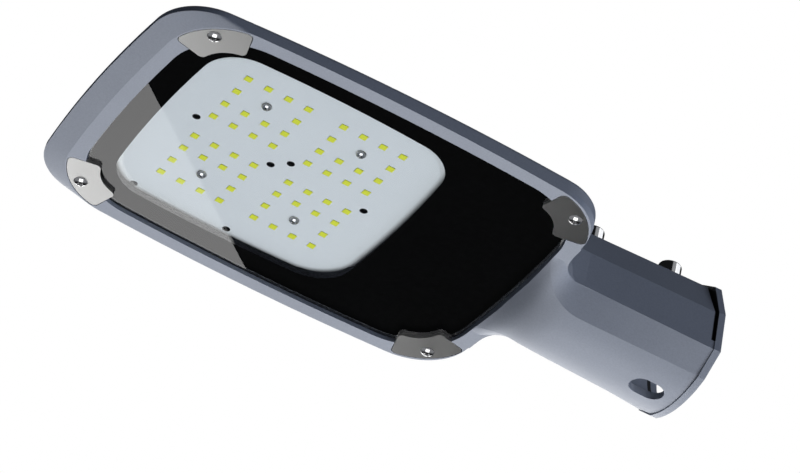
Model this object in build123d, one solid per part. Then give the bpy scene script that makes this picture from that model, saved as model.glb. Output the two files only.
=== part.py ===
"""Street light head for a 60 mm pole end, with a flat glass lens, two LED arrays and a driver chamber.

Drawn about the middle of the LED arrays (x along the arm, y across, z up, lens underneath), then moved
so that the origin is the middle of the spigot mouth on the axis of the pole bore.
"""
import math
import os

from build123d import *

os.makedirs("parts", exist_ok=True)

# the position of the spigot mouth and pole axis from the middle of the LED arrays
mouth_x = 255.3
bore_z = 9.5

# rim and lens recess
rim_z = -7.7            # underside of the rim
lens_recess = 2.0       # rim face to lens face
glass_t = 4.0
gasket_t = 2.0
lens_gap = 0.7          # dark joint around the glass
seat_w = 8.5            # ledge that carries the glass
front_x, rear_x, half_y = -110.0, 155.6, 98.85
chamfer_x = -98.0       # front end of the flat rim, ahead of it the face slopes up
recess_front, recess_rear, recess_half_y = -89.5, 147.3, half_y - 8.75
end_radius, side_radius = 800.0, 1320.0     # bulge of the short and long sides
widest_x = 31.3                             # station of the greatest width
corner_r, flat_corner_r = (31.0, 30.5), (38.0, 35.0)        # front and rear
recess_corner_r = 41.0
wall_low, wall_top, top_slope = -4.7, 1.5, 0.012    # the top of the wall climbs toward the arm
edge_r = 3.2

# LED arrays
pitch_x, pitch_y = 12.0, 13.46
block_dx, block_dy = 4.7725 * pitch_x, 4.6262 * pitch_y
led_size, led_tip_z = 4.1, 2.2
tray_z, tray_t, tray_depth = 3.0, 1.2, 3.0
tray_hx, tray_hy, tray_corner = 74.4, recess_half_y - 13.9, 24.0
tray_end_radius, tray_side_radius = 700.0, 800.0    # bulge of the tray's short and long sides
board_t, pad_t = 1.6, 0.5
floor_z = tray_z + tray_t + board_t + pad_t     # the flat of the heat sink
window_hx, window_hy, window_corner = tray_hx - 1.4, tray_hy - 1.8, tray_corner
pad_hx, pad_hy, pad_corner = tray_hx - 4.4, tray_hy - 5.2, tray_corner - 4.0
print_t = 0.15
hole_r = 2.25
hole_x, hole_y = (-53.4, 4.0), (-4.1, tray_hy - 4.7)

# clips
clip_cx, clip_cy = (recess_front + 32.5, recess_rear - 31.8), recess_half_y - 33.1
clip_c = tuple((x, y) for x in clip_cx for y in (-clip_cy, clip_cy))
clip_ri, clip_ro, clip_half_angle = 19.6, 37.8, 34.0
clip_t, clip_gap, clip_corner = 2.0, 0.45, 3.0
clip_screw_r = 32.0

# spigot
bore_r = 30.5
bore_depth = 79.0
neck_x = 168.0
rake = 0.04             # lean of the mouth plane, per mm of height
mouth_rim_x, rim_w = 251.5, 4.2     # the raised rim round the mouth
groove_w, groove_depth = 1.8, 2.2   # the groove behind it, round flanks and roof
bolt_x = (185.4, 235.5)
bolt_head_r, bolt_head_h, bolt_r = 6.65, 8.0, 4.0
bolt_seat_z = (48.7, 51.3)
slot_x, slot_len, slot_w = 235.3, 20.5, 14.5

# driver chamber
chamber_x = (79.0, 143.0)
roof_t = 3.0
driver_x, driver_hy, driver_z = (82.0, 130.0), half_y - 48.85, (0.8, 19.0)
lug_t, lug_w, lug_l, lug_gap = 2.0, 14.0, 8.0, 2.0
gland_z, gland_r, gland_hex_r = 14.0, 8.0, 11.0
neck_wall_x = 157.0      # bore side of the wall that carries the gland
earth_xy, terminal_xy = (112.0, 29.85 - half_y), (110.0, half_y - 34.35)

place = Location((-mouth_x, 0, -bore_z))


def bulged(x0, x1, hy, r, re=end_radius, rs=side_radius, widest=None):
    """Rectangle x0..x1, +-hy with bowed sides and rounded corners; the sizes hold at the crown of each side.

    The corner radius r may be a pair, for the corners at x0 and at x1.
    """
    xm = (x0 + x1) / 2 if widest is None else widest

    def corner(x_end, toward):
        x, y = x_end, hy
        for _ in range(6):
            y = hy - (x - xm) ** 2 / (2 * rs)
            x = x_end + toward * y * y / (2 * re)
        return x, y

    (xa, ya), (xb, yb) = corner(x0, 1), corner(x1, -1)
    face = make_face([
        ThreePointArc((xa, -ya), (xm, -hy), (xb, -yb)), ThreePointArc((xb, -yb), (x1, 0), (xb, yb)),
        ThreePointArc((xb, yb), (xm, hy), (xa, ya)), ThreePointArc((xa, ya), (x0, 0), (xa, -ya)),
    ])
    for x, corner_radius in ((xa, r[0]), (xb, r[1])) if isinstance(r, tuple) else ():
        face = fillet(face.vertices().filter_by(lambda v: abs(v.X - x) < 1.0), corner_radius)
    return face if isinstance(r, tuple) else fillet(face.vertices(), r)


def slab(face, z0, z1):
    return extrude(Pos(0, 0, z0) * face, z1 - z0, dir=(0, 0, 1))


def peg(x, y, r, z0, z1):
    return Pos(x, y, (z0 + z1) / 2) * Cylinder(r, z1 - z0)


def block(x0, x1, y0, y1, z0, z1):
    return Pos((x0 + x1) / 2, (y0 + y1) / 2, (z0 + z1) / 2) * Box(x1 - x0, y1 - y0, z1 - z0)


def smooth_stack(sections, lower=0.0, inset=0.0):
    """Loft through (z, x0, x1, hy, r) outlines."""
    faces = [
        Pos(0, 0, z - lower) * bulged(x0 + inset, x1 - inset, hy - inset, r - 0.6 * inset)
        for z, x0, x1, hy, r in sections
    ]
    return loft(faces)


# outlines shared by several pieces
rim_outline = bulged(front_x, rear_x, half_y, corner_r, widest=widest_x)
flat_outline = bulged(chamfer_x, rear_x, half_y, flat_corner_r, widest=widest_x)


def recess_inset(d):
    """Outline of the lens recess moved inward by d."""
    return bulged(
        recess_front + d, recess_rear - d, recess_half_y - d, recess_corner_r - d, widest=widest_x
    )


glass_z = rim_z + lens_recess
seat_z = glass_z + glass_t + gasket_t

# dome sections: z, front x, rear x, half width, corner radius
dome = (
    (-1.6, front_x + 4.4, rear_x - 4.4, half_y - 4.4, 30.0),
    (14.0, -74.0, 150.5, half_y - 24.85, 34.0),
    (26.0, -40.0, 150.0, half_y - 38.85, 30.0),
    (34.0, 10.0, 149.0, 42.0, 24.0),
    (38.5, 55.0, 148.0, 24.0, 16.0),
)


def led_spots():
    """Centres of the four blocks of 4 x 4 places, each less the two where the board screw stands."""
    x0 = -(3 * pitch_x + block_dx) / 2
    y0 = -(3 * pitch_y + block_dy) / 2
    blocks = []
    for bx in (0, 1):
        for by in (0, 1):
            row = 1 if by == 0 else 2
            spots = [
                (x0 + bx * block_dx + i * pitch_x, y0 + by * block_dy + j * pitch_y)
                for j in range(4) for i in range(4)
                if not (j == row and i in (1, 2))
            ]
            screw = (x0 + bx * block_dx + 1.5 * pitch_x, y0 + by * block_dy + row * pitch_y)
            blocks.append((spots, screw))
    return blocks


def tray_holes():
    half = [(x, y) for y in hole_y for x in hole_x]
    return [p for x, y in half for p in ((x, y), (-x, -y))]


def clip_sketch(c, ri, ro, half_angle, r):
    """Ring sector that looks from the clip centre toward the nearest corner of the head."""
    middle = math.atan2(math.copysign(1, c[1]), math.copysign(1, c[0] - 29.0))
    a, b = middle - math.radians(half_angle), middle + math.radians(half_angle)
    taper = math.radians(3.0)

    def at(radius, angle):
        return (c[0] + radius * math.cos(angle), c[1] + radius * math.sin(angle))

    a_in, b_in = a - taper, b + taper
    edges = [
        ThreePointArc(at(ro, a), at(ro, middle), at(ro, b)), Line(at(ro, b), at(ri, b_in)),
        ThreePointArc(at(ri, b_in), at(ri, middle), at(ri, a_in)), Line(at(ri, a_in), at(ro, a)),
    ]
    face = make_face(edges)
    return fillet(face.vertices(), r)


def clip_screw_xy(c):
    s = clip_screw_r / math.sqrt(2)
    return (c[0] + math.copysign(s, c[0] - 29.0), c[1] + math.copysign(s, c[1]))


def spigot_section(x):
    """Upper part of the spigot at x, above the rim plane: upright flanks under a pitched roof."""
    t = (x - neck_x) / (mouth_rim_x - neck_x)
    side, eave, top_y = 33.4 + 4.6 * t, 15.0 - 1.0 * t, 12.0
    roof = (23.8 + 1.6 * t, 34.8 + 2.7 * t)
    ridge_z = roof[1] + 0.735 * (roof[0] - top_y)
    right = [(side, rim_z + 0.6), (side, eave), roof, (top_y, ridge_z)]
    pts = right + [(-y, z) for y, z in reversed(right)]
    plane = Plane(origin=(x, 0, 0), x_dir=(0, 1, 0), z_dir=(1, 0, 0))
    return plane * make_face([Line(p, q) for p, q in zip(pts, pts[1:] + pts[:1])])


def belly_section(x, flange_y, flange_z, crease_y, crease_z, belly):
    """Part of the spigot below the rim plane: a round belly between two sloped facets."""
    right = [(crease_y, crease_z), (flange_y, flange_z), (24.0, 2.0)]
    left = [(-y, z) for y, z in reversed(right)]
    pts = right + left
    plane = Plane(origin=(x, 0, 0), x_dir=(0, 1, 0), z_dir=(1, 0, 0))
    lines = [Line(p, q) for p, q in zip(pts[:-1], pts[1:])]
    lines.append(ThreePointArc(pts[-1], (0, belly), pts[0]))
    return plane * make_face(lines)


# x, flange edge y z, crease y z and belly z of the spigot's underside, at the neck and at the mouth
barrel_neck = (181.0, 34.2, rim_z, 21.9, -19.7, -24.6)
barrel_mouth = (262.0, 38.8, rim_z - 2.65, 24.4, -20.2, -25.6)


def barrel_at(x):
    """Section of the straight part of the spigot's underside at x."""
    t = (x - barrel_neck[0]) / (barrel_mouth[0] - barrel_neck[0])
    return tuple(a + (b - a) * t for a, b in zip(barrel_neck, barrel_mouth))


# the same from the lens rim, where it flares out, into the straight part
neck_sections = (
    (146.5, 45.0, rim_z, 39.5, -7.9, -8.1),
    (149.7, 45.0, rim_z, 35.4, -10.0, -12.0),
    (154.4, 43.0, rim_z, 29.8, -12.8, -17.0),
    (159.6, 37.4, rim_z, 25.6, -15.3, -20.4),
    (164.9, 34.2, rim_z, 23.6, -17.5, -22.7),
    (171.0, 33.6, rim_z, 22.2, -19.0, -24.0),
    barrel_neck,
) + tuple(barrel_at(x) for x in (191.0, 201.0, 211.0, 221.0, 231.0))
bell_end = 201.0        # the flared part is kept up to here


def build_housing():
    # edge band: flat rim, sloped front, upright wall with a rounded top
    band = loft([Pos(0, 0, rim_z) * flat_outline, Pos(0, 0, wall_low) * rim_outline], ruled=True)
    wall = slab(rim_outline, wall_low, wall_top + 8.0)
    tilt = math.degrees(math.atan(top_slope))
    wall -= Pos(0, 0, wall_top) * Rot(0, -tilt, 0) * Pos(0, 0, 20) * Box(500, 400, 40)
    wall = fillet(wall.faces().sort_by(Axis.Z)[-1].edges(), edge_r)

    # spigot with its mouth rim, cut off on a leaning plane
    lean = math.degrees(math.atan(rake))
    mouth_plane = Pos(mouth_rim_x, 0, 0) * Rot(0, -lean, 0)
    ring_pts = [(24.6, -21.1), (38.8, -10.3), (38.8, 14.4), (30.2, 36.0), (12.0, 47.8)]
    ring_pts = ring_pts + [(-y, z) for y, z in reversed(ring_pts)]
    lines = [Line(p, q) for p, q in zip(ring_pts[:-1], ring_pts[1:])]
    lines.append(ThreePointArc(ring_pts[-1], (0, -26.2), ring_pts[0]))
    ring_face = Plane(origin=(0, 0, 0), x_dir=(0, 1, 0), z_dir=(1, 0, 0)) * make_face(lines)
    ring = mouth_plane * extrude(ring_face, rim_w, dir=(1, 0, 0))

    def flange_section(x, y, z):
        plane = Plane(origin=(x, 0, 0), x_dir=(0, 1, 0), z_dir=(1, 0, 0))
        corners = Polyline((-y, z), (y, z), (y, rim_z + 3.0), (-y, rim_z + 3.0), close=True)
        return plane * make_face(corners.edges())

    barrel = loft([spigot_section(146.0), spigot_section(262.0)], ruled=True)
    barrel += loft([flange_section(150.0, 33.3, rim_z), flange_section(*barrel_neck[:3]),
                    flange_section(*barrel_mouth[:3])], ruled=True)
    barrel += loft([belly_section(*barrel_at(bell_end)), belly_section(*barrel_mouth)], ruled=True)
    barrel -= mouth_plane * Pos(52, 0, 0) * Box(100, 200, 200)

    # groove behind the mouth rim, round the flanks and the roof
    skin = Pos(-mouth_rim_x, 0, 0) * spigot_section(mouth_rim_x)
    groove = extrude(offset(skin, 6.0) - offset(skin, -groove_depth), groove_w, dir=(1, 0, 0))
    groove = mouth_plane * Pos(-groove_w, 0, 0) * groove
    barrel -= groove & block(mouth_rim_x - 20, mouth_rim_x + 20, -60, 60, rim_z + 3.0, 70)
    barrel += ring

    # flared belly between the lens rim and the spigot, and the flat web beside it
    bell = loft([belly_section(*s) for s in neck_sections]) & block(140.0, bell_end, -60, 60, -40, 10)
    web_pts = [(148.0, -60.0), (153.9, -60.0), (156.4, -41.6), (164.6, -34.0), (176.0, -33.9)]
    half = make_face([
        Line((148.0, 0), web_pts[0]), Line(web_pts[0], web_pts[1]),
        Spline(web_pts[1], (154.6, -48.0), web_pts[2], (159.7, -37.2), web_pts[3], web_pts[4]),
        Line(web_pts[4], (176.0, 0)), Line((176.0, 0), (148.0, 0)),
    ])
    web = slab(half, rim_z, rim_z + 1.6)

    # hollow corner between the back of the head and the flank of the spigot
    def corner_face(z, x0, y0, curve, x1):
        face = make_face([
            Line((146.0, -30.0), (146.0, y0)), Line((146.0, y0), (x0, y0)), Spline((x0, y0), *curve, (x1, -33.8)),
            Line((x1, -33.8), (172.0, -33.6)), Line((172.0, -33.6), (172.0, -30.0)), Line((172.0, -30.0), (146.0, -30.0)),
        ])
        return Pos(0, 0, z) * face

    gusset = loft([
        corner_face(rim_z + 1.0, 152.8, -56.0, ((153.7, -48.0), (155.5, -41.4), (159.0, -36.8)), 164.6),
        corner_face(15.0, 149.5, -44.0, ((150.3, -41.0), (151.8, -38.0), (154.3, -35.6)), 158.0),
    ], ruled=True)

    body = smooth_stack(dome) + barrel
    body += bell
    body += web
    body += mirror(web, about=Plane.XZ)
    body += gusset
    body += mirror(gusset, about=Plane.XZ)
    body += band
    body += wall

    # bolt seats
    for x, z in zip(bolt_x, bolt_seat_z):
        body += peg(x, 0, 7.2, 38.0, z)

    # lens recess, seat and tray space
    body -= slab(recess_inset(0.0), rim_z - 1, seat_z)
    body -= slab(recess_inset(seat_w), seat_z - 0.1, floor_z)

    # driver chamber under the dome
    inner = tuple((z, max(x0, -200.0), x1, hy, r) for z, x0, x1, hy, r in dome)
    hollow = smooth_stack(inner, lower=roof_t, inset=roof_t + 1.0)
    hollow &= block(chamber_x[0], chamber_x[1], -86, 86, seat_z + 2.0, 60)
    for side in (-1, 1):        # room for the driver's lugs
        y0, y1 = sorted((side * (driver_hy - 1), side * (driver_hy + lug_l + lug_gap)))
        lug_x = (driver_x[0] + driver_x[1]) / 2
        lug_hx = lug_w / 2 + lug_gap
        body -= block(lug_x - lug_hx, lug_x + lug_hx, y0, y1, seat_z + 2.0, driver_z[1])
    body -= hollow

    # bosses that hang from the chamber roof
    mid_x = (driver_x[0] + driver_x[1]) / 2
    for side in (-1, 1):
        y = side * (driver_hy + 4.5)
        body += peg(mid_x, y, 4.5, driver_z[1], 28.0)
        body -= peg(mid_x, y, 1.7, driver_z[1] - 1, driver_z[1] + 5)
    body += peg(*earth_xy, 5.0, 3.0, 14.0)
    body -= peg(*earth_xy, 2.0, 2.0, 10.5)
    for side in (-1, 1):
        body += peg(terminal_xy[0] + 6 * side, terminal_xy[1], 4.0, 7.0, 14.0)

    # cooling fins: open grooves along the front of the dome
    for k in range(-4, 5):
        y = 16.0 * k
        reach = 72.0
        body -= block(-120.0, reach, y - 5.5, y + 5.5, floor_z + 4.5, 60.0)

    # pole bore, neck and gland hole
    body -= Pos(mouth_x - bore_depth / 2 + 5, 0, bore_z) * Rot(0, 90, 0) * Cylinder(bore_r, bore_depth + 10)
    neck_end = mouth_x - bore_depth + 1
    body -= Pos((neck_wall_x + neck_end) / 2, 0, bore_z) * Rot(0, 90, 0) * Cylinder(22.0, neck_end - neck_wall_x)
    body -= Pos(150.0, 0, gland_z) * Rot(0, 90, 0) * Cylinder(gland_r + 0.2, 60.0)

    # belly slot, bolt holes
    slot = Pos(slot_x, 0, -30.0) * extrude(SlotOverall(slot_len, slot_w), 30.0, dir=(0, 0, 1))
    body -= slot
    for x in bolt_x:
        body -= peg(x, 0, bolt_r + 0.05, 30.0, 60.0)

    # clip pockets and screw holes
    for c in clip_c:
        pocket = clip_sketch(c, clip_ri - 2.0, clip_ro + clip_gap, clip_half_angle + 0.8, clip_corner + clip_gap)
        body -= slab(pocket, rim_z - 1, glass_z)
        x, y = clip_screw_xy(c)
        body -= peg(x, y, 1.75, rim_z - 1, 4.0)
    for spots, (x, y) in led_spots():
        body -= peg(x, y, 1.35, floor_z - 1, floor_z + 4.0)
    return body


def build_glass():
    return slab(recess_inset(lens_gap), glass_z, glass_z + glass_t)


def build_print():
    """Opaque border printed on the inner face of the glass, open over the LED tray."""
    window = bulged(
        -window_hx, window_hx, window_hy, window_corner, tray_end_radius, tray_side_radius
    )
    z = glass_z + glass_t
    return slab(recess_inset(1.5), z, z + print_t) - slab(window, z - 1, z + 1)


def build_gasket():
    """Flat silicone frame between the printed glass and the ledge of the casting."""
    z0 = glass_z + glass_t + print_t
    return slab(recess_inset(lens_gap), z0, seat_z) - slab(recess_inset(seat_w), z0 - 1, seat_z + 1)


def tray_inset(d):
    """Outline of the tray moved inward by d."""
    return bulged(
        d - tray_hx, tray_hx - d, tray_hy - d, tray_corner - d, tray_end_radius, tray_side_radius
    )


def build_tray():
    """White cover pan with a rolled border, a square opening at each LED and round wire holes."""
    outer = tray_inset(0.0)
    inner = tray_inset(tray_t)
    pan = slab(outer, tray_z, tray_z + tray_depth)
    pan = fillet(pan.faces().sort_by(Axis.Z)[0].edges(), 2.2)
    pan -= slab(inner, tray_z + tray_t, tray_z + tray_depth + 1)
    cuts = []
    for spots, screw in led_spots():
        cuts += [block(x - 2.3, x + 2.3, y - 2.3, y + 2.3, tray_z - 1, tray_z + 2) for x, y in spots]
        cuts.append(peg(*screw, 1.7, tray_z - 1, tray_z + 2))
    cuts += [peg(x, y, hole_r, tray_z - 1, tray_z + 2) for x, y in tray_holes()]
    return pan - cuts


def build_board():
    """Aluminium circuit board under the tray."""
    z = tray_z + tray_t
    edge = tray_t + 0.6
    board = slab(tray_inset(edge), z, z + board_t)
    cuts = [peg(*screw, 1.7, z - 1, z + 3) for spots, screw in led_spots()]
    cuts += [peg(x, y, hole_r, z - 1, z + 3) for x, y in tray_holes()]
    return board - cuts


def build_pad():
    """Thermal pad between the board and the flat of the heat sink."""
    z = tray_z + tray_t + board_t
    pad = slab(bulged(-pad_hx, pad_hx, pad_hy, pad_corner, tray_end_radius, tray_side_radius), z, floor_z)
    return pad - [peg(*screw, 2.2, z - 1, z + 3) for spots, screw in led_spots()]


def build_led_block(spots):
    z = tray_z + tray_t
    h = led_size / 2
    return Compound([block(x - h, x + h, y - h, y + h, led_tip_z, z) for x, y in spots])


def pan_screw(x, y, z_seat, head_r, head_h, shank_r, length):
    """Screw with a low crowned head that hangs below its seat and a shank that runs up from it."""
    profile = Polyline(
        (0, z_seat - head_h), (0.5 * head_r, z_seat - head_h), (0.86 * head_r, z_seat - 0.62 * head_h),
        (head_r, z_seat), (shank_r, z_seat), (shank_r, z_seat + length), (0, z_seat + length), close=True,
    )
    return Pos(x, y, 0) * revolve(Plane.XZ * make_face(profile.edges()), Axis.Z)


def build_board_screws():
    return Compound([
        pan_screw(x, y, tray_z, 2.9, 1.8, 1.3, 6.5) for spots, (x, y) in led_spots()
    ])


def build_clip(c):
    """Flat stainless clip that laps over the glass corner."""
    clip = slab(clip_sketch(c, clip_ri, clip_ro, clip_half_angle, clip_corner), rim_z, glass_z)
    x, y = clip_screw_xy(c)
    return clip - peg(x, y, 2.0, rim_z - 1, glass_z + 1)


def build_clip_screws():
    return Compound([
        pan_screw(*clip_screw_xy(c), rim_z, 3.6, 2.2, 1.7, 9.0) for c in clip_c
    ])


def build_bolts():
    """Two socket head cap bolts that clamp the pole end, backed off clear of the bore."""
    bolts = []
    for x, z in zip(bolt_x, bolt_seat_z):
        head = fillet(peg(x, 0, bolt_head_r, z, z + bolt_head_h).edges().sort_by(Axis.Z)[-1:], 0.8)
        socket = Pos(x, 0, z + bolt_head_h - 4.0) * extrude(RegularPolygon(3.46, 6), 5.0, dir=(0, 0, 1))
        shank = peg(x, 0, bolt_r, bore_z + bore_r + 0.6, z + 0.2)
        bolts.append(head - socket + shank)
    return Compound(bolts)


def build_driver():
    """Sealed power supply with a fixing lug at each end, hung from two bosses of the roof."""
    x0, x1 = driver_x
    z0, z1 = driver_z
    case = block(x0, x1, -driver_hy, driver_hy, z0, z1)
    case = chamfer(case.edges().filter_by(Axis.Z), 2.0)
    xm = (x0 + x1) / 2
    for side in (-1, 1):
        y0, y1 = sorted((side * (driver_hy - 1), side * (driver_hy + lug_l)))
        case += block(xm - lug_w / 2, xm + lug_w / 2, y0, y1, z1 - lug_t, z1)
        case -= peg(xm, side * (driver_hy + 4.5), 1.9, z0, z1 + 1)
    return case


def build_driver_screws():
    x = (driver_x[0] + driver_x[1]) / 2
    return Compound([
        pan_screw(x, side * (driver_hy + 4.5), driver_z[1] - lug_t, 3.0, 2.0, 1.6, 6.0) for side in (-1, 1)
    ])


def build_terminal():
    """Three-way terminal block beside the driver."""
    x, y = terminal_xy
    body = block(x - 12.0, x + 12.0, y - 6.5, y + 6.5, 0.0, 7.0)
    for k in (-1, 0, 1):
        body -= peg(x + 8.0 * k, y, 2.2, -1.0, 2.5)
        body -= Pos(x + 8.0 * k, y, 4.8) * Rot(90, 0, 0) * Cylinder(1.7, 30.0)
    return body


def build_terminal_screws():
    x, y = terminal_xy
    return Compound([peg(x + 8.0 * k, y, 2.0, 1.0, 2.5) for k in (-1, 0, 1)])


def along_x(x0, x1, shape_r, sides=0):
    """Round or hexagonal bar on the gland axis from x0 to x1."""
    if sides:
        bar = extrude(RegularPolygon(shape_r, sides), x1 - x0, dir=(0, 0, 1))
        return Pos(x0, 0, gland_z) * Rot(0, 90, 0) * bar
    return Pos((x0 + x1) / 2, 0, gland_z) * Rot(0, 90, 0) * Cylinder(shape_r, x1 - x0)


def build_gland_body():
    """Cable gland in the wall between the driver chamber and the neck: thread and hexagon."""
    thread = along_x(chamber_x[1] - 7.0, neck_wall_x + 12.0, gland_r)
    hexagon = along_x(neck_wall_x, neck_wall_x + 5.0, gland_hex_r, 6)
    bore = along_x(chamber_x[1] - 20.0, neck_wall_x + 3.0, 4.6)
    seat = along_x(neck_wall_x + 3.0, neck_wall_x + 30.0, 6.2)
    return thread + hexagon - bore - seat


def build_gland_nut():
    nut = along_x(chamber_x[1] - 5.0, chamber_x[1], gland_hex_r, 6)
    return nut - along_x(100.0, 200.0, gland_r + 0.05)


def build_gland_cap():
    """Domed compression nut over the sealing insert."""
    cap = along_x(neck_wall_x + 5.5, neck_wall_x + 16.0, gland_hex_r - 0.4)
    cap = fillet(cap.edges().sort_by(Axis.X)[-1:], 2.5)
    cap -= along_x(100.0, neck_wall_x + 12.5, gland_r + 0.05)
    return cap - along_x(100.0, 200.0, 4.6)


def build_gland_seal():
    ring = along_x(neck_wall_x + 3.1, neck_wall_x + 12.4, 6.1)
    return ring - along_x(100.0, 200.0, 3.4)


def build_earth_screw():
    return pan_screw(*earth_xy, 3.0, 3.6, 2.2, 1.9, 7.0)


parts = {
    "housing": build_housing(),
    "glass": build_glass(),
    "glass_print": build_print(),
    "glass_gasket": build_gasket(),
    "led_tray": build_tray(),
    "led_board": build_board(),
    "thermal_pad": build_pad(),
    "board_screws": build_board_screws(),
    "clip_screws": build_clip_screws(),
    "clamp_bolts": build_bolts(),
    "driver": build_driver(),
    "driver_screws": build_driver_screws(),
    "terminal_block": build_terminal(),
    "terminal_screws": build_terminal_screws(),
    "gland_body": build_gland_body(),
    "gland_nut": build_gland_nut(),
    "gland_cap": build_gland_cap(),
    "gland_seal": build_gland_seal(),
    "earth_screw": build_earth_screw(),
}
for name, (spots, screw) in zip(("front_left", "front_right", "rear_left", "rear_right"), led_spots()):
    parts["leds_" + name] = build_led_block(spots)
for name, c in zip(("front_left", "front_right", "rear_left", "rear_right"), clip_c):
    parts["clip_" + name] = build_clip(c)

for name, part in parts.items():
    export_step(place * part, f"parts/{name}.step")
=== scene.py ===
"""Street light head: the finishes, the screws and the LEDs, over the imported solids. Metres throughout."""

import math

import bpy
from mathutils import Matrix, Vector


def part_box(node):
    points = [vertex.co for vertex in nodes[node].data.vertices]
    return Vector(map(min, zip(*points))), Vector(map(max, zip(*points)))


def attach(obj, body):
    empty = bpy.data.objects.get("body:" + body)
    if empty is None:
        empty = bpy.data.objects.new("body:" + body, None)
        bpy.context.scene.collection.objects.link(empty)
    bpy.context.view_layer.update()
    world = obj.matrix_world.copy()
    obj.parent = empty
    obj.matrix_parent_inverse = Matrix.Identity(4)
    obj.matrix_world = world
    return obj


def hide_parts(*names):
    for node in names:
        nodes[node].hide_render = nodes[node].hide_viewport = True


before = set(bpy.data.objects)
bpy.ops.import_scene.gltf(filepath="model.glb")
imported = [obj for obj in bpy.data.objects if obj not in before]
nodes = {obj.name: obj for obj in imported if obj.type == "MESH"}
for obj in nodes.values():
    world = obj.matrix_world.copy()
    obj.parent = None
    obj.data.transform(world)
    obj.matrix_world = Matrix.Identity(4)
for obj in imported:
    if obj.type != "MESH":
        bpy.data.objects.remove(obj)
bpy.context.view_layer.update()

# Camera
# A long lens a good two metres off, below the head and ahead of it on its left side, looks up
# at the lens glass.
camera = bpy.data.objects.new("camera", bpy.data.cameras.new("camera"))
camera.data.sensor_width = 36.0
camera.data.lens = 195.35
camera_place = -0.8560, -1.7357, -1.3901
right = Vector((0.8556, -0.4822, 0.1881)).normalized()
ahead = Vector((0.2922, 0.7499, 0.5936))
ahead = (ahead - right * ahead.dot(right)).normalized()
up = right.cross(ahead)


def stood(place, side, upward, back):
    """Matrix of an object at `place` with its own three axes along these ways."""
    return Matrix.Translation(place) @ Matrix((side, upward, back)).transposed().to_4x4()


camera.matrix_world = stood(camera_place, right, up, -ahead)
bpy.context.scene.collection.objects.link(camera)
bpy.context.scene.camera = camera
bpy.context.scene.view_settings.view_transform = "Standard"

# Studio
# Lamps below and behind the head light it, panels that only gloss can see show in the glass, the
# clips and the bolts, and a dim bluish room fills the shadows. The backdrop is white.
head_middle = Vector((-0.25, 0.0, 0.0))
lamp_distance = 3.0


def studio_lamp(
    name, place, facing, size, glow, shape="RECTANGLE", along=None, lit=True, mirrored=True,
    tint=(1.0, 1.0, 1.0)
):
    """Area lamp at `place`, of brightness `glow`: its back looks along `facing`, its width lies `along`."""
    lamp = bpy.data.lights.new(name, "AREA")
    lamp.shape = shape
    lamp.color = tint
    lamp.size, lamp.size_y = size
    lamp.energy = glow * math.pi * size[0] * size[1] * (math.pi / 4 if shape == "ELLIPSE" else 1.0)
    back = Vector(facing).normalized()
    side = (Vector(along) if along else Vector((0, 0, 1)).cross(back)).normalized()
    obj = bpy.data.objects.new(name, lamp)
    obj.matrix_world = stood(place, side, back.cross(side), back)
    obj.visible_camera = False
    obj.visible_diffuse = lit
    obj.visible_glossy = obj.visible_transmission = mirrored
    bpy.context.scene.collection.objects.link(obj)


def lamp_toward(name, toward, **lamp):
    """Lamp that stands off in the direction `toward` and shines at the middle of the head."""
    studio_lamp(name, head_middle + Vector(toward).normalized() * lamp_distance, toward, **lamp)


lamp_toward("under_lamp", (0.42, 0.56, -0.715), size=(1.7, 1.7), glow=12.3, shape="ELLIPSE", mirrored=False)
lamp_toward("top_lamp", (0.2, 0.75, 0.63), size=(1.8, 1.8), glow=11.0, shape="ELLIPSE", mirrored=False)
lamp_toward("back_panel", (0.32, 0.94, 0.05), size=(2.6, 1.8), glow=2.2, lit=False)
lamp_toward(
    "side_lamp", (0.78, -0.55, -0.3), size=(1.8, 1.8), glow=1.8, mirrored=False, tint=(0.85, 0.96, 1.2)
)
lamp_toward("bolt_panel", (0.73, -0.34, 0.594), size=(2.4, 0.5), glow=1.7, lit=False)
lamp_toward("bolt_panel_dim", (0.353, -0.723, 0.594), size=(2.0, 0.5), glow=0.45, lit=False)
lamp_toward("low_panel", (-0.09, -0.30, -0.95), size=(3.0, 2.3), glow=1.6, lit=False)
# the card whose edge crosses the lens glass as a slanting line
edge_start = Vector((0.1714, 1.6997, -1.39))
edge_way = Vector((0.7328, 0.6804, 0.0))
edge_across = Vector((-0.6804, 0.7328, 0.0))
card_size = 1.1, 0.9
card_shift = 0.16
card_middle = edge_start + edge_way * card_shift + edge_across * card_size[1] / 2
studio_lamp("lens_card", card_middle, (0, 0, -1), size=card_size, glow=1.45, along=edge_way, lit=False)

floor_reach, floor_level = 9, -6
floor_corners = [
    (floor_reach * x, floor_reach * y, floor_level) for x, y in ((-1, -1), (1, -1), (1, 1), (-1, 1))
]
floor_mesh = bpy.data.meshes.new("floor")
floor_mesh.from_pydata(floor_corners, [], [(0, 1, 2, 3)])
floor = bpy.data.objects.new("floor", floor_mesh)
bpy.context.scene.collection.objects.link(floor)
pale = bpy.data.materials.new("pale_floor")
pale.use_nodes = True
pale_surface = pale.node_tree.nodes["Principled BSDF"]
pale_surface.inputs["Base Color"].default_value = (0.86, 0.86, 0.86, 1)
pale_surface.inputs["Roughness"].default_value = 0.8
floor_mesh.materials.append(pale)
floor.visible_diffuse = floor.visible_glossy = False

world = bpy.data.worlds.new("room")
world.use_nodes = True
bpy.context.scene.world = world
room = world.node_tree
room.nodes.clear()


def node_in(tree, kind, inputs=(), **settings):
    """Node of a tree with its settings; each input gets a link from a socket, or else a plain value."""
    node = tree.nodes.new(kind)
    for key, value in settings.items():
        setattr(node, key, value)
    for key, value in dict(inputs).items():
        if isinstance(value, bpy.types.NodeSocket):
            tree.links.new(value, node.inputs[key])
        else:
            node.inputs[key].default_value = value
    return node


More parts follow.
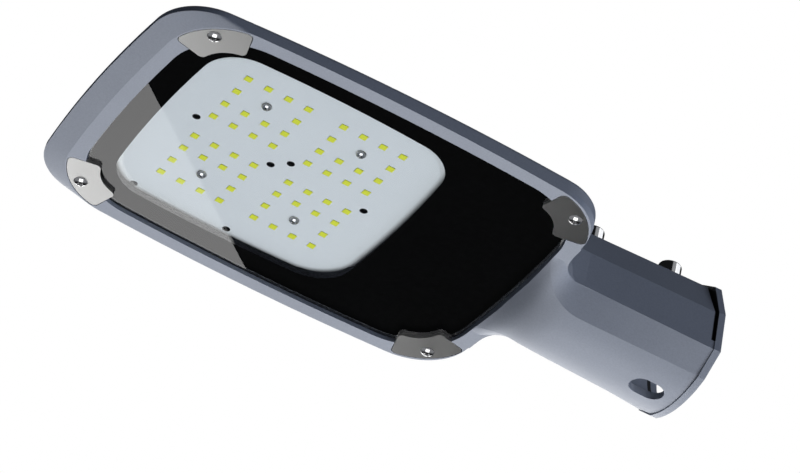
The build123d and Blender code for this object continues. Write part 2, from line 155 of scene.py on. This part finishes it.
def vector_math_in(tree, operation, *values):
    """What a Vector Math node makes of sockets or vectors, as a number where the operation gives one."""
    node = node_in(tree, "ShaderNodeVectorMath", enumerate(values), operation=operation)
    return node.outputs["Value" if operation in ("LENGTH", "DISTANCE", "DOT_PRODUCT") else "Vector"]


def range_in(tree, value, from_range=(0.0, 1.0), to_range=(0.0, 1.0), curve="SMOOTHSTEP"):
    """A value taken from one range to another."""
    ends = {
        "From Min": from_range[0], "From Max": from_range[1], "To Min": to_range[0], "To Max": to_range[1]
    }
    ramp = node_in(tree, "ShaderNodeMapRange", {"Value": value, **ends}, interpolation_type=curve)
    return ramp.outputs["Result"]


look_way = node_in(room, "ShaderNodeTexCoord").outputs["Generated"]
overhead = 0, 0, 1


def room_toward(way, from_range, to_range=(0.0, 1.0)):
    """Value that runs over to_range as the angle to `way` has its cosine in from_range."""
    return range_in(
        room, vector_math_in(room, "DOT_PRODUCT", look_way, Vector(way).normalized()), from_range, to_range
    )


def room_mix(factor, first, second):
    """Mix of two shaders of the room by a factor."""
    return node_in(room, "ShaderNodeMixShader", enumerate((factor, first, second))).outputs[0]


def room_glow(colour, strength=1.0):
    """Light of one colour; its strength is a number or a socket."""
    return node_in(room, "ShaderNodeBackground", {"Color": (*colour, 1), "Strength": strength}).outputs[0]


# what fills the shadows: bluish below, dimmer above, nearly dark round the camera
fill = room_mix(
    room_toward(overhead, (-0.3, 0.5)), room_glow((0.18, 0.21, 0.27)), room_glow((0.11, 0.13, 0.17))
)
fill = room_mix(room_toward((-0.8, -0.6, 0.15), (-0.1, 0.8)), fill, room_glow((0.02, 0.022, 0.03)))
# what gloss sees: grey below, dark where the lens mirrors the room, dark above but for the ceiling
gloss_tint = 0.98, 1.0, 1.05
below = room_glow(gloss_tint, room_toward((0.29, 0.75, -0.59), (0.45, 0.8), (0.22, 0.012)))
above = room_glow(gloss_tint, room_toward(overhead, (0.68, 0.85), (0.012, 0.09)))
gloss = room_mix(room_toward(overhead, (-0.15, 0.05)), below, above)
light_path = node_in(room, "ShaderNodeLightPath").outputs
room_seen = room_mix(light_path["Is Glossy Ray"], fill, gloss)
room_seen = room_mix(light_path["Is Camera Ray"], room_seen, room_glow((1.0, 1.0, 1.0)))
node_in(room, "ShaderNodeOutputWorld", {"Surface": room_seen})

# Housing
# One aluminium die casting: lens rim, dome with cooling fins and spigot. Blasted, then sprayed
# with a fine-grained grey polyester powder and baked.


def node_group(name, kind, takes, gives):
    """Node group; takes and gives list its sockets by name and kind, and some with a first value."""
    group = bpy.data.node_groups.new(name, kind)
    for in_out, sockets in (("INPUT", takes), ("OUTPUT", gives)):
        for label, socket_kind, *first_value in sockets:
            made = group.interface.new_socket(label, in_out=in_out, socket_type="NodeSocket" + socket_kind)
            if first_value:
                made.default_value = first_value[0]
    return group


def math_in(tree, operation, *values):
    """What a Math node makes of sockets or numbers."""
    return node_in(tree, "ShaderNodeMath", enumerate(values), operation=operation).outputs[0]


grain = node_group(
    "fine_grain", "ShaderNodeTree", (("Grain Size", "Float", 0.0005), ("Cloud Size", "Float", 0.05)),
    (("Tone", "Float"), ("Height", "Float")),
)
cloud_share = 0.35
grain_in = node_in(grain, "NodeGroupInput").outputs
grain_place = node_in(grain, "ShaderNodeTexCoord").outputs["Object"]
layers = []
for socket, detail in (("Grain Size", 2.0), ("Cloud Size", 3.0)):
    per_metre = math_in(grain, "DIVIDE", 1.0, grain_in[socket])
    inputs = {"Vector": grain_place, "Scale": per_metre, "Detail": detail}
    layers.append(node_in(grain, "ShaderNodeTexNoise", inputs).outputs["Fac"])
tone = node_in(grain, "ShaderNodeMix", {"Factor": cloud_share, "A": layers[0], "B": layers[1]})
node_in(grain, "NodeGroupOutput", {"Tone": tone.outputs["Result"], "Height": layers[0]})
tone_range = 0.25, 0.75


def grained(name, shade, tint, roughness, grain_size, relief, cloud_size=0.05, metal=0.0):
    """Finish whose colour runs from shade to tint with its grain, which its roughness and relief follow."""
    finish = bpy.data.materials.new(name)
    finish.use_nodes = True
    tree = finish.node_tree
    sizes = {"Grain Size": grain_size, "Cloud Size": cloud_size}
    speckle = node_in(tree, "ShaderNodeGroup", sizes, node_tree=grain).outputs
    spread = range_in(tree, speckle["Tone"], from_range=tone_range, curve="LINEAR")
    colour = {"Factor": spread, 6: (*shade, 1), 7: (*tint, 1)}
    colour = node_in(tree, "ShaderNodeMix", colour, data_type="RGBA").outputs[2]
    rough = range_in(tree, speckle["Tone"], to_range=roughness, curve="LINEAR")
    bump = node_in(tree, "ShaderNodeBump", {"Height": speckle["Height"], "Distance": relief})
    surface = tree.nodes["Principled BSDF"].inputs
    surface["Metallic"].default_value = metal
    tree.links.new(colour, surface["Base Color"])
    tree.links.new(rough, surface["Roughness"])
    tree.links.new(bump.outputs["Normal"], surface["Normal"])
    return finish


def paint_over(finish, mask, colour):
    """Lays a plain colour over a grained finish where the mask says."""
    tree = finish.node_tree
    base = tree.nodes["Principled BSDF"].inputs["Base Color"]
    layer = {"Factor": mask, 6: base.links[0].from_socket, 7: (*colour, 1)}
    tree.links.new(node_in(tree, "ShaderNodeMix", layer, data_type="RGBA").outputs[2], base)


def coordinate_in(tree, kind):
    """The X, Y and Z sockets of a texture coordinate."""
    whole = node_in(tree, "ShaderNodeTexCoord").outputs[kind]
    return node_in(tree, "ShaderNodeSeparateXYZ", {0: whole}).outputs


def dress(node, finish):
    """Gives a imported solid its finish."""
    materials = nodes[node].data.materials
    materials.clear()
    materials.append(finish)


powder_coat = grained(
    "grey_powder_coat", (0.30, 0.317, 0.357), (0.38, 0.401, 0.447), roughness=(0.42, 0.52),
    grain_size=0.0009, relief=0.00006,
)
# painted shade: the deep groove behind the mouth rim is painted near black, where it lies in shadow
coat_tree = powder_coat.node_tree
spot = coordinate_in(coat_tree, "Object")
groove_x, groove_half, groove_foot = -0.00513, 0.00112, -0.0143
mouth_lean = 0.04
leaned = math_in(coat_tree, "ADD", spot["X"], math_in(coat_tree, "MULTIPLY", spot["Z"], mouth_lean))
off_groove = math_in(coat_tree, "ABSOLUTE", math_in(coat_tree, "SUBTRACT", leaned, groove_x))
across = math_in(coat_tree, "LESS_THAN", off_groove, groove_half)
painted_shade = math_in(coat_tree, "MULTIPLY", across, math_in(coat_tree, "GREATER_THAN", spot["Z"], groove_foot))
# painted shade too: the recess behind the pane is painted near black where it lies in shadow, the ledge and
# floor as far as it goes, and the walls of the narrower space behind the ledge
recess_middle = -0.2264, 0.0, -0.0071
coat_facing = coordinate_in(coat_tree, "Normal")["Z"]
recess_shade_masks = []
for recess_half, facing_limit in (((0.1188, 0.0905, 0.0042), -0.5), ((0.1105, 0.0822, 0.0042), 0.5)):
    patch = math_in(coat_tree, "LESS_THAN", coat_facing, facing_limit)
    for axis, centre, half in zip("XYZ", recess_middle, recess_half):
        off = math_in(coat_tree, "ABSOLUTE", math_in(coat_tree, "SUBTRACT", spot[axis], centre))
        patch = math_in(coat_tree, "MULTIPLY", patch, math_in(coat_tree, "LESS_THAN", off, half))
    recess_shade_masks.append(patch)
ledge, walls = recess_shade_masks
painted_shade = math_in(coat_tree, "MAXIMUM", painted_shade, math_in(coat_tree, "MAXIMUM", ledge, walls))
# painted shade: the groove and the recess get a near-black colour over the powder
paint_over(powder_coat, painted_shade, (0.006, 0.006, 0.008))
ledge_roughness = 0.08
coat_rough = coat_tree.nodes["Principled BSDF"].inputs["Roughness"]
ledge_gloss_mix = node_in(coat_tree, "ShaderNodeMix", {
    "Factor": ledge, "A": coat_rough.links[0].from_socket, "B": ledge_roughness
})
coat_tree.links.new(ledge_gloss_mix.outputs["Result"], coat_rough)
dress("housing", powder_coat)

# Lens glass
# A flat tempered pane, ground at its rim, with a black border fired on its inner face and a
# silicone frame that presses it against the ledge of the casting.
glass = bpy.data.materials.new("clear_glass")
glass.use_nodes = True
glass_tree = glass.node_tree
pane = glass_tree.nodes["Principled BSDF"]
for socket, value in (
    ("Base Color", (0.97, 0.985, 0.98, 1)), ("Roughness", 0.0), ("IOR", 1.5),
    ("Specular Tint", (0, 0, 0, 1)), ("Transmission Weight", 1.0), ("Coat Roughness", 0.0),
    ("Coat IOR", 1.65),
):
    pane.inputs[socket].default_value = value
# outline with bulged sides and round corners, for what follows the shape of the LED cover
outline = node_group(
    "bulged_outline", "ShaderNodeTree",
    (("Centre", "Vector"), ("Half", "Vector"), ("Corner", "Float"), ("Bulge", "Vector")),
    (("Outside", "Float"), ("Past", "Float")),
)
outline_in = node_in(outline, "NodeGroupInput").outputs
outline_place = node_in(outline, "ShaderNodeTexCoord").outputs["Object"]
off_centre = vector_math_in(outline, "SUBTRACT", outline_place, outline_in["Centre"])
level = vector_math_in(outline, "ABSOLUTE", off_centre)
level = vector_math_in(outline, "MULTIPLY", level, (1.0, 1.0, 0.0))
# each side bulges: its middle lies further out than its ends, by the square of the way along it
squares = vector_math_in(outline, "MULTIPLY", level, level)
squares = node_in(outline, "ShaderNodeSeparateXYZ", {0: squares}).outputs
crossed = node_in(outline, "ShaderNodeCombineXYZ", {"X": squares["Y"], "Y": squares["X"]}).outputs[0]
sagged = vector_math_in(outline, "MULTIPLY", crossed, outline_in["Bulge"])
past = vector_math_in(outline, "SUBTRACT", vector_math_in(outline, "ADD", level, sagged), outline_in["Half"])
past = vector_math_in(outline, "LENGTH", vector_math_in(outline, "MAXIMUM", past, (0.0, 0.0, 0.0)))
node_in(outline, "NodeGroupOutput", {
    "Outside": math_in(outline, "GREATER_THAN", past, outline_in["Corner"]),
    "Past": math_in(outline, "SUBTRACT", past, outline_in["Corner"]),
})
# the LED cover is a pan: its corners are round, its ends and sides are wide arcs
pan_corner, end_radius, side_radius = 0.024, 0.7, 0.8


def beyond_pan(tree, shift=(0.0, 0.0, 0.0), inset=(0.0, 0.0, 0.0)):
    """Whether and how far a place lies beyond the pan's outline, moved by shift and drawn in by inset."""
    low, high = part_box("led_tray")
    return node_in(tree, "ShaderNodeGroup", {
        "Centre": (low + high) / 2 + Vector(shift),
        "Half": (high - low) / 2 - Vector(inset) - Vector((pan_corner, pan_corner, 0.0)),
        "Corner": pan_corner,
        "Bulge": (1 / (2 * end_radius), 1 / (2 * side_radius), 0.0),
    }, node_tree=outline).outputs


# the window lies where the pan shows through the pane to the camera; it is bloomed, so that the pane
# mirrors fully over its black border only
off_window = beyond_pan(glass_tree, shift=(-0.0018, -0.0052, 0.0), inset=(0.0026, 0.0044, 0.0))
glass_tree.links.new(off_window["Outside"], pane.inputs["Coat Weight"])
see_through = node_in(glass_tree, "ShaderNodeBsdfTransparent", {"Color": (0.93, 0.94, 0.94, 1)})
which_ray = node_in(glass_tree, "ShaderNodeLightPath").outputs
any_light = math_in(glass_tree, "MAXIMUM", which_ray["Is Shadow Ray"], which_ray["Is Diffuse Ray"])
pass_light = node_in(glass_tree, "ShaderNodeMixShader", {
    "Fac": any_light, 1: pane.outputs[0], 2: see_through.outputs[0]
})
glass_tree.links.new(pass_light.outputs[0], glass_tree.nodes["Material Output"].inputs["Surface"])
dress("glass", glass)

black_print = grained(
    "fired_black_border", (0.0015, 0.0015, 0.0015), (0.003, 0.003, 0.003), roughness=(0.5, 0.6),
    grain_size=0.004, relief=0.000005,
)
black_print.node_tree.nodes["Principled BSDF"].inputs["Specular IOR Level"].default_value = 0.0
border_drop = 0.00005
border = bpy.data.objects.new("glass_border", nodes["glass_print"].data.copy())
border.data.transform(Matrix.Translation((0, 0, -border_drop)))
border.data.materials.clear()
border.data.materials.append(black_print)
bpy.context.scene.collection.objects.link(border)
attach(border, "root")
border.visible_shadow = False
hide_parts("glass_print")

silicone = grained(
    "silicone", (0.012, 0.012, 0.013), (0.02, 0.02, 0.021), roughness=(0.6, 0.75), grain_size=0.0006,
    relief=0.00002,
)
dress("glass_gasket", silicone)
dress("gland_seal", silicone)

# Corner clips
# Four pressed stainless plates, brushed, let into the rim flush with it, that hold the pane
# down. Each has one bright cross-head screw.
stainless = grained(
    "brushed_stainless", (0.84, 0.84, 0.83), (0.92, 0.92, 0.91), roughness=(0.26, 0.33), grain_size=0.0004,
    relief=0.000004, metal=1.0,
)
for corner in ("front_left", "front_right", "rear_left", "rear_right"):
    dress("clip_" + corner, stainless)

bright_steel = grained(
    "bright_plating", (0.78, 0.78, 0.79), (0.86, 0.86, 0.86), roughness=(0.06, 0.10), grain_size=0.0009,
    relief=0.000002, metal=1.0,
)

screw_tree = node_group(
    "cross_head_screws", "GeometryNodeTree",
    (
        ("Spacing X", "Float", 0.1), ("Spacing Y", "Float", 0.1), ("Head Radius", "Float", 0.0036),
        ("Head Height", "Float", 0.0022), ("Recess", "Float", 0.0011), ("Middle", "Vector"),
        ("Finish", "Material"),
    ),
    (("Geometry", "Geometry"),),
)


def lifted(tree, geometry, height):
    """A geometry moved up along Z by a socket's value."""
    rise = node_in(tree, "ShaderNodeCombineXYZ", {"Z": height}).outputs[0]
    return node_in(tree, "GeometryNodeTransform", {"Geometry": geometry, "Translation": rise}).outputs[0]


screw_in = node_in(screw_tree, "NodeGroupInput").outputs
head_r, head_h = screw_in["Head Radius"], screw_in["Head Height"]
head_steps, ball_rings = 64, 48
# the crown is a ball cut off at the seat: ball radius = (r*r + h*h) / 2h
squared = [math_in(screw_tree, "MULTIPLY", size, size) for size in (head_r, head_h)]
twice_h = math_in(screw_tree, "MULTIPLY", head_h, 2.0)
ball_r = math_in(screw_tree, "DIVIDE", math_in(screw_tree, "ADD", *squared), twice_h)
ball = node_in(
    screw_tree, "GeometryNodeMeshUVSphere", {"Segments": head_steps, "Rings": ball_rings, "Radius": ball_r}
)
rim = node_in(screw_tree, "GeometryNodeMeshCylinder", {
    "Vertices": head_steps, "Radius": head_r, "Depth": math_in(screw_tree, "MULTIPLY", head_h, 4.0)
})
crown = node_in(screw_tree, "GeometryNodeMeshBoolean", operation="INTERSECT", solver="EXACT")
for solid, height in (
    (ball.outputs["Mesh"], math_in(screw_tree, "SUBTRACT", ball_r, head_h)),
    (rim.outputs["Mesh"], math_in(screw_tree, "MULTIPLY", head_h, -2.0)),
):
    screw_tree.links.new(lifted(screw_tree, solid, height), crown.inputs["Mesh 2"])
# the cross recess: two tapered wings, cut from the crown
wing_top, wing_foot, wing_depth, wing_squeeze, cross_turn = 0.00085, 0.0032, 0.003, 0.26, 0.5
wing_below = math_in(screw_tree, "ADD", head_h, wing_depth / 2)
recess_down = math_in(screw_tree, "SUBTRACT", screw_in["Recess"], wing_below)
cut_head = node_in(screw_tree, "GeometryNodeMeshBoolean", operation="DIFFERENCE", solver="EXACT")
screw_tree.links.new(crown.outputs["Mesh"], cut_head.inputs["Mesh 1"])
for quarter in (0.0, math.pi / 2):
    wing = node_in(screw_tree, "GeometryNodeMeshCone", {
        "Vertices": 4, "Radius Top": wing_top, "Radius Bottom": wing_foot, "Depth": wing_depth
    }).outputs["Mesh"]
    # its square foot is turned onto a corner, squeezed thin, then turned to its place in the cross
    for change in (
        {"Rotation": (0, 0, math.pi / 4)}, {"Scale": (1.0, wing_squeeze, 1.0)},
        {"Rotation": (0, 0, quarter + cross_turn)},
    ):
        wing = node_in(screw_tree, "GeometryNodeTransform", {"Geometry": wing, **change}).outputs[0]
    screw_tree.links.new(lifted(screw_tree, wing, recess_down), cut_head.inputs["Mesh 2"])
corners_grid = node_in(screw_tree, "GeometryNodeMeshGrid", {
    "Size X": screw_in["Spacing X"], "Size Y": screw_in["Spacing Y"], "Vertices X": 2, "Vertices Y": 2
})
grid_at = node_in(screw_tree, "GeometryNodeTransform", {
    "Geometry": corners_grid.outputs["Mesh"], "Translation": screw_in["Middle"]
})
# each screw is driven home to a turn of its own
most_turn = 1.5
every_turn = node_in(
    screw_tree, "FunctionNodeRandomValue", {"Min": (0, 0, 0), "Max": (0, 0, most_turn), "Seed": 4},
    data_type="FLOAT_VECTOR",
)
heads = node_in(screw_tree, "GeometryNodeInstanceOnPoints", {
    "Points": grid_at.outputs[0], "Instance": cut_head.outputs["Mesh"],
    "Rotation": every_turn.outputs["Value"],
})
real_heads = node_in(screw_tree, "GeometryNodeRealizeInstances", {"Geometry": heads.outputs[0]})
smooth_heads = node_in(screw_tree, "GeometryNodeSetShadeSmooth", {"Geometry": real_heads.outputs[0]})
crease = math.radians(32)
edge_turn = node_in(screw_tree, "GeometryNodeInputMeshEdgeAngle").outputs["Unsigned Angle"]
soft_edge = node_in(
    screw_tree, "FunctionNodeCompare", {"A": edge_turn, "B": crease}, operation="LESS_THAN"
)
soft_edges = node_in(
    screw_tree, "GeometryNodeSetShadeSmooth",
    {"Geometry": smooth_heads.outputs[0], "Shade Smooth": soft_edge.outputs[0]}, domain="EDGE",
)
head_finish = node_in(screw_tree, "GeometryNodeSetMaterial", {
    "Geometry": soft_edges.outputs[0], "Material": screw_in["Finish"]
})
node_in(screw_tree, "NodeGroupOutput", {"Geometry": head_finish.outputs[0]})


def grown(name, tree, inputs):
    """Mesh object made by a Geometry Nodes tree with these inputs, riding on the head."""
    seed = bpy.data.objects.new(name + "_seed", bpy.data.meshes.new(name + "_seed"))
    bpy.context.scene.collection.objects.link(seed)
    growth = seed.modifiers.new("growth", "NODES")
    growth.node_group = tree
    for item in tree.interface.items_tree:
        if item.item_type == "SOCKET" and item.in_out == "INPUT" and item.name in inputs:
            growth[item.identifier] = inputs[item.name]
    ready = seed.evaluated_get(bpy.context.evaluated_depsgraph_get())
    mesh = bpy.data.meshes.new_from_object(ready)
    bpy.data.objects.remove(seed)
    mesh.name = name
    mesh.materials.clear()
    mesh.materials.append(inputs["Finish"])
    mesh.polygons.foreach_set("material_index", [0] * len(mesh.polygons))
    piece = bpy.data.objects.new(name, mesh)
    bpy.context.scene.collection.objects.link(piece)
    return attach(piece, "root")


screw_seat = {"clip_screws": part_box("clip_front_left")[0].z, "board_screws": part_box("led_tray")[0].z}


def four_screws(name, node, solid_radius, head_radius, head_height, recess):
    """Bright heads at the four corners of a node that holds four like screws with heads of solid_radius."""
    low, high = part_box(node)
    piece = grown(name, screw_tree, {
        "Spacing X": high.x - low.x - 2 * solid_radius, "Spacing Y": high.y - low.y - 2 * solid_radius,
        "Head Radius": head_radius, "Head Height": head_height, "Recess": recess,
        "Middle": ((low.x + high.x) / 2, (low.y + high.y) / 2, screw_seat[node]), "Finish": bright_steel,
    })
    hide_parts(node)


four_screws(
    "clip_screw_heads", "clip_screws", solid_radius=0.0036, head_radius=0.00395, head_height=0.0022,
    recess=0.0012,
)

# LED cover
# A white moulded pan over the LED board, with a rolled border, an opening at each LED, wire
# holes, and four chromed screws that pull board and pan onto the heat sink.
white_cover = grained(
    "moulded_white", (0.76, 0.785, 0.80), (0.81, 0.835, 0.85), roughness=(0.32, 0.42), grain_size=0.002,
    relief=0.000005, cloud_size=0.03,
)
# painted shade: its eight wire holes are painted black, where they lie in shade
cover_tree = white_cover.node_tree
cover_low, cover_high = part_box("led_tray")
cover_centre = (cover_low + cover_high) / 2
cover_place = node_in(cover_tree, "ShaderNodeTexCoord").outputs["Object"]
hole_from_edge, hole_level, hole_reach = 0.0047, 0.00125, 0.00256
hole_edge = (cover_high.y - cover_low.y) / 2 - hole_from_edge
painted_shade_parts = []
for hole_x, hole_y in ((-0.0534, -0.0041), (0.004, -0.0041), (-0.0534, hole_edge), (0.004, hole_edge)):
    for side in (1, -1):
        hole = cover_centre.x + side * hole_x, cover_centre.y + side * hole_y, cover_low.z + hole_level
        off_hole = vector_math_in(cover_tree, "DISTANCE", cover_place, hole)
        painted_shade_parts.append(math_in(cover_tree, "LESS_THAN", off_hole, hole_reach))
# painted shade: its rolled border is painted darker as it turns up, where it lies under the black border of
# the pane
turned_up, turned_dark = (-0.98, -0.38), (0.0, 0.99)
cover_facing = coordinate_in(cover_tree, "Normal")["Z"]
painted_shade_parts.append(range_in(cover_tree, cover_facing, turned_up, turned_dark))
# and a painted shadow of the black border darkens it along the two sides that lie furthest under it
shade_reach, shade_dark = (-0.0025, 0.0025), (0.0, 0.97)
shaded = beyond_pan(cover_tree, shift=(-0.001, -0.0015, 0.0))
painted_shade_parts.append(range_in(cover_tree, shaded["Past"], shade_reach, shade_dark))
painted_cover_shade = painted_shade_parts[0]
for shade_part in painted_shade_parts[1:]:
    painted_cover_shade = math_in(cover_tree, "MAXIMUM", painted_cover_shade, shade_part)
# painted shade: the holes, the rolled border and the border's shadow get a near-black colour over the white
paint_over(white_cover, painted_cover_shade, (0.004, 0.004, 0.006))
# the pan's border is rolled up wide: the points of its edge move out and up onto a bigger radius
solid_roll, roll, roll_foot, roll_end = 0.0022, 0.0048, 0.0021, math.radians(65)
edge_slack, top_slack = 0.0005, 0.0001
pan = bpy.data.objects.new("led_cover", nodes["led_tray"].data.copy())
pan_half = (cover_high - cover_low) / 2
pan_normals = [Vector()] * len(pan.data.vertices)
for loop, normal in zip(pan.data.loops, pan.data.corner_normals):
    pan_normals[loop.vertex_index] = normal.vector.copy()
for point in pan.data.vertices:
    place = point.co - cover_centre
    # how far past the centre of the corner, with the bulge of each side taken off
    past_x = max(0.0, abs(place.x) + place.y ** 2 / (2 * end_radius) - pan_half.x + pan_corner)
    past_y = max(0.0, abs(place.y) + place.x ** 2 / (2 * side_radius) - pan_half.y + pan_corner)
    outward = Vector((math.copysign(past_x, place.x), math.copysign(past_y, place.y), 0))
    height = point.co.z - cover_low.z
    turn = math.acos(max(0.0, 1.0 - height / solid_roll))
    solid_inset = solid_roll * (1.0 - math.sin(turn))
    if abs(pan_corner - outward.length - solid_inset) > edge_slack:
        continue
    outward.normalize()
    new_turn = roll_end * turn / (math.pi / 2)
    point.co += outward * (solid_inset - roll_foot + roll * math.sin(new_turn))
    if height < solid_roll + top_slack:
        point.co.z = cover_low.z + roll * (1.0 - math.cos(new_turn))
        pan_normals[point.index] = outward * math.sin(new_turn) - Vector((0, 0, math.cos(new_turn)))
pan.data.normals_split_custom_set_from_vertices(pan_normals)
pan.data.materials.clear()
pan.data.materials.append(white_cover)
bpy.context.scene.collection.objects.link(pan)
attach(pan, "root")
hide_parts("led_tray")
board_black = grained(
    "black_solder_mask", (0.004, 0.004, 0.005), (0.007, 0.007, 0.008), roughness=(0.5, 0.6),
    grain_size=0.001, relief=0.000005,
)
dress("led_board", board_black)
dark_pad = grained(
    "thermal_pad", (0.004, 0.004, 0.005), (0.007, 0.007, 0.008), roughness=(0.7, 0.85), grain_size=0.001,
    relief=0.00002,
)
dress("thermal_pad", dark_pad)
four_screws(
    "board_screw_heads", "board_screws", solid_radius=0.0029, head_radius=0.0032, head_height=0.0023,
    recess=0.0007,
)

# LEDs
# Fifty-six surface-mounted packages, four blocks of four by four less the two places beside
# the screw: a white moulded body that fills its opening, and a yellow phosphor cap on it.
led_tree = node_group(
    "led_block", "GeometryNodeTree",
    (
        ("Pitch X", "Float", 0.012), ("Pitch Y", "Float", 0.01346), ("Side", "Float", 0.0041),
        ("Height", "Float", 0.002), ("Screw Row", "Int"), ("Middle", "Vector"), ("Finish", "Material"),
    ),
    (("Geometry", "Geometry"),),
)
led_in = node_in(led_tree, "NodeGroupInput").outputs
places = node_in(led_tree, "GeometryNodeMeshGrid", {
    "Size X": math_in(led_tree, "MULTIPLY", led_in["Pitch X"], 3.0),
    "Size Y": math_in(led_tree, "MULTIPLY", led_in["Pitch Y"], 3.0),
    "Vertices X": 4, "Vertices Y": 4,
})
# the grid counts along Y first: place = 4 * column + row; the screw takes the inner two of its row
index = node_in(led_tree, "GeometryNodeInputIndex").outputs[0]
column = math_in(led_tree, "FLOOR", math_in(led_tree, "DIVIDE", index, 4.0))
row = math_in(led_tree, "MODULO", index, 4.0)
off_middle = math_in(led_tree, "ABSOLUTE", math_in(led_tree, "SUBTRACT", column, 1.5))
off_row = math_in(led_tree, "ABSOLUTE", math_in(led_tree, "SUBTRACT", row, led_in["Screw Row"]))
inner_column = math_in(led_tree, "LESS_THAN", off_middle, 1.0)
taken = math_in(led_tree, "MULTIPLY", inner_column, math_in(led_tree, "LESS_THAN", off_row, 0.5))
free_places = node_in(led_tree, "GeometryNodeDeleteGeometry", {
    "Geometry": places.outputs["Mesh"], "Selection": taken
})
placed = node_in(led_tree, "GeometryNodeTransform", {
    "Geometry": free_places.outputs[0], "Translation": led_in["Middle"]
})
# a package is a block whose underside is drawn in a little over its lowest tenth
shoulder_share, shoulder_scale, underside_facing = 0.1, 0.97, -0.9
block_height = math_in(led_tree, "MULTIPLY", led_in["Height"], 1 - shoulder_share)
package_size = node_in(led_tree, "ShaderNodeCombineXYZ", {
    "X": led_in["Side"], "Y": led_in["Side"], "Z": block_height
})
package = node_in(led_tree, "GeometryNodeMeshCube", {"Size": package_size.outputs[0]})
led_facing = node_in(led_tree, "GeometryNodeInputNormal").outputs[0]
led_facing = node_in(led_tree, "ShaderNodeSeparateXYZ", {0: led_facing}).outputs["Z"]
shoulder = node_in(led_tree, "GeometryNodeExtrudeMesh", {
    "Mesh": package.outputs["Mesh"],
    "Selection": math_in(led_tree, "LESS_THAN", led_facing, underside_facing),
    "Offset Scale": math_in(led_tree, "MULTIPLY", led_in["Height"], shoulder_share),
})
shoulder = node_in(led_tree, "GeometryNodeScaleElements", {
    "Geometry": shoulder.outputs["Mesh"], "Selection": shoulder.outputs["Top"], "Scale": shoulder_scale
})
half_up = math_in(led_tree, "MULTIPLY", led_in["Height"], (1 + shoulder_share) / 2)
packages = node_in(led_tree, "GeometryNodeInstanceOnPoints", {
    "Points": placed.outputs[0], "Instance": lifted(led_tree, shoulder.outputs[0], half_up)
})
real_packages = node_in(led_tree, "GeometryNodeRealizeInstances", {"Geometry": packages.outputs[0]})
led_finish = node_in(led_tree, "GeometryNodeSetMaterial", {
    "Geometry": real_packages.outputs[0], "Material": led_in["Finish"]
})
node_in(led_tree, "NodeGroupOutput", {"Geometry": led_finish.outputs[0]})

phosphor = grained(
    "yellow_phosphor", (0.77, 0.81, 0.035), (0.87, 0.90, 0.05), roughness=(0.45, 0.6), grain_size=0.0003,
    relief=0.000004, cloud_size=0.004,
)
solid_side, body_side, cap_side = 0.0041, 0.0048, 0.0040
body_set_back, cap_height, cap_proud = 0.00003, 0.0004, 0.00025
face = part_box("led_tray")[0].z
for corner, screw_at in (("front_left", 1), ("front_right", 2), ("rear_left", 1), ("rear_right", 2)):
    low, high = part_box("leds_" + corner)
    block = {
        "Pitch X": (high.x - low.x - solid_side) / 3, "Pitch Y": (high.y - low.y - solid_side) / 3,
        "Screw Row": screw_at,
    }
    block_middle = (low.x + high.x) / 2, (low.y + high.y) / 2
    bodies = grown("led_bodies_" + corner, led_tree, {
        **block, "Side": body_side, "Height": high.z - face, "Finish": white_cover,
        "Middle": (*block_middle, face + body_set_back),
    })
    caps = grown("led_caps_" + corner, led_tree, {
        **block, "Side": cap_side, "Height": cap_height, "Finish": phosphor,
        "Middle": (*block_middle, face - cap_proud),
    })
    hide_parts("leds_" + corner)

# Clamp bolts
# Two polished steel socket head bolts on top of the spigot. Screwed in through its roof, they
# press on the pole end.
bolt_steel = grained(
    "polished_bolt_steel", (0.50, 0.51, 0.53), (0.58, 0.59, 0.61), roughness=(0.07, 0.13),
    grain_size=0.0015, relief=0.000002, metal=1.0,
)
dress("clamp_bolts", bolt_steel)

# Driver chamber
# Behind the lens: the sealed power supply in its aluminium case, a three-way terminal block,
# the earth screw and the cable gland in the wall to the neck.
driver_case = grained(
    "driver_case", (0.5, 0.51, 0.53), (0.6, 0.61, 0.62), roughness=(0.3, 0.45), grain_size=0.001,
    relief=0.00001, metal=1.0,
)
dress("driver", driver_case)
zinc = grained(
    "zinc_plating", (0.45, 0.46, 0.48), (0.6, 0.6, 0.6), roughness=(0.25, 0.4), grain_size=0.0008,
    relief=0.000005, metal=1.0,
)
dress("driver_screws", zinc)
terminal_plastic = grained(
    "terminal_plastic", (0.5, 0.49, 0.44), (0.6, 0.59, 0.54), roughness=(0.4, 0.55), grain_size=0.0006,
    relief=0.00001,
)
dress("terminal_block", terminal_plastic)
brass = grained(
    "brass", (0.5, 0.36, 0.14), (0.65, 0.48, 0.2), roughness=(0.22, 0.35), grain_size=0.0008,
    relief=0.000005, metal=1.0,
)
dress("terminal_screws", brass)
dress("earth_screw", brass)
nylon = grained(
    "black_nylon", (0.01, 0.01, 0.011), (0.02, 0.02, 0.021), roughness=(0.4, 0.55), grain_size=0.0005,
    relief=0.00001,
)
for part in ("gland_body", "gland_nut", "gland_cap"):
    dress(part, nylon)
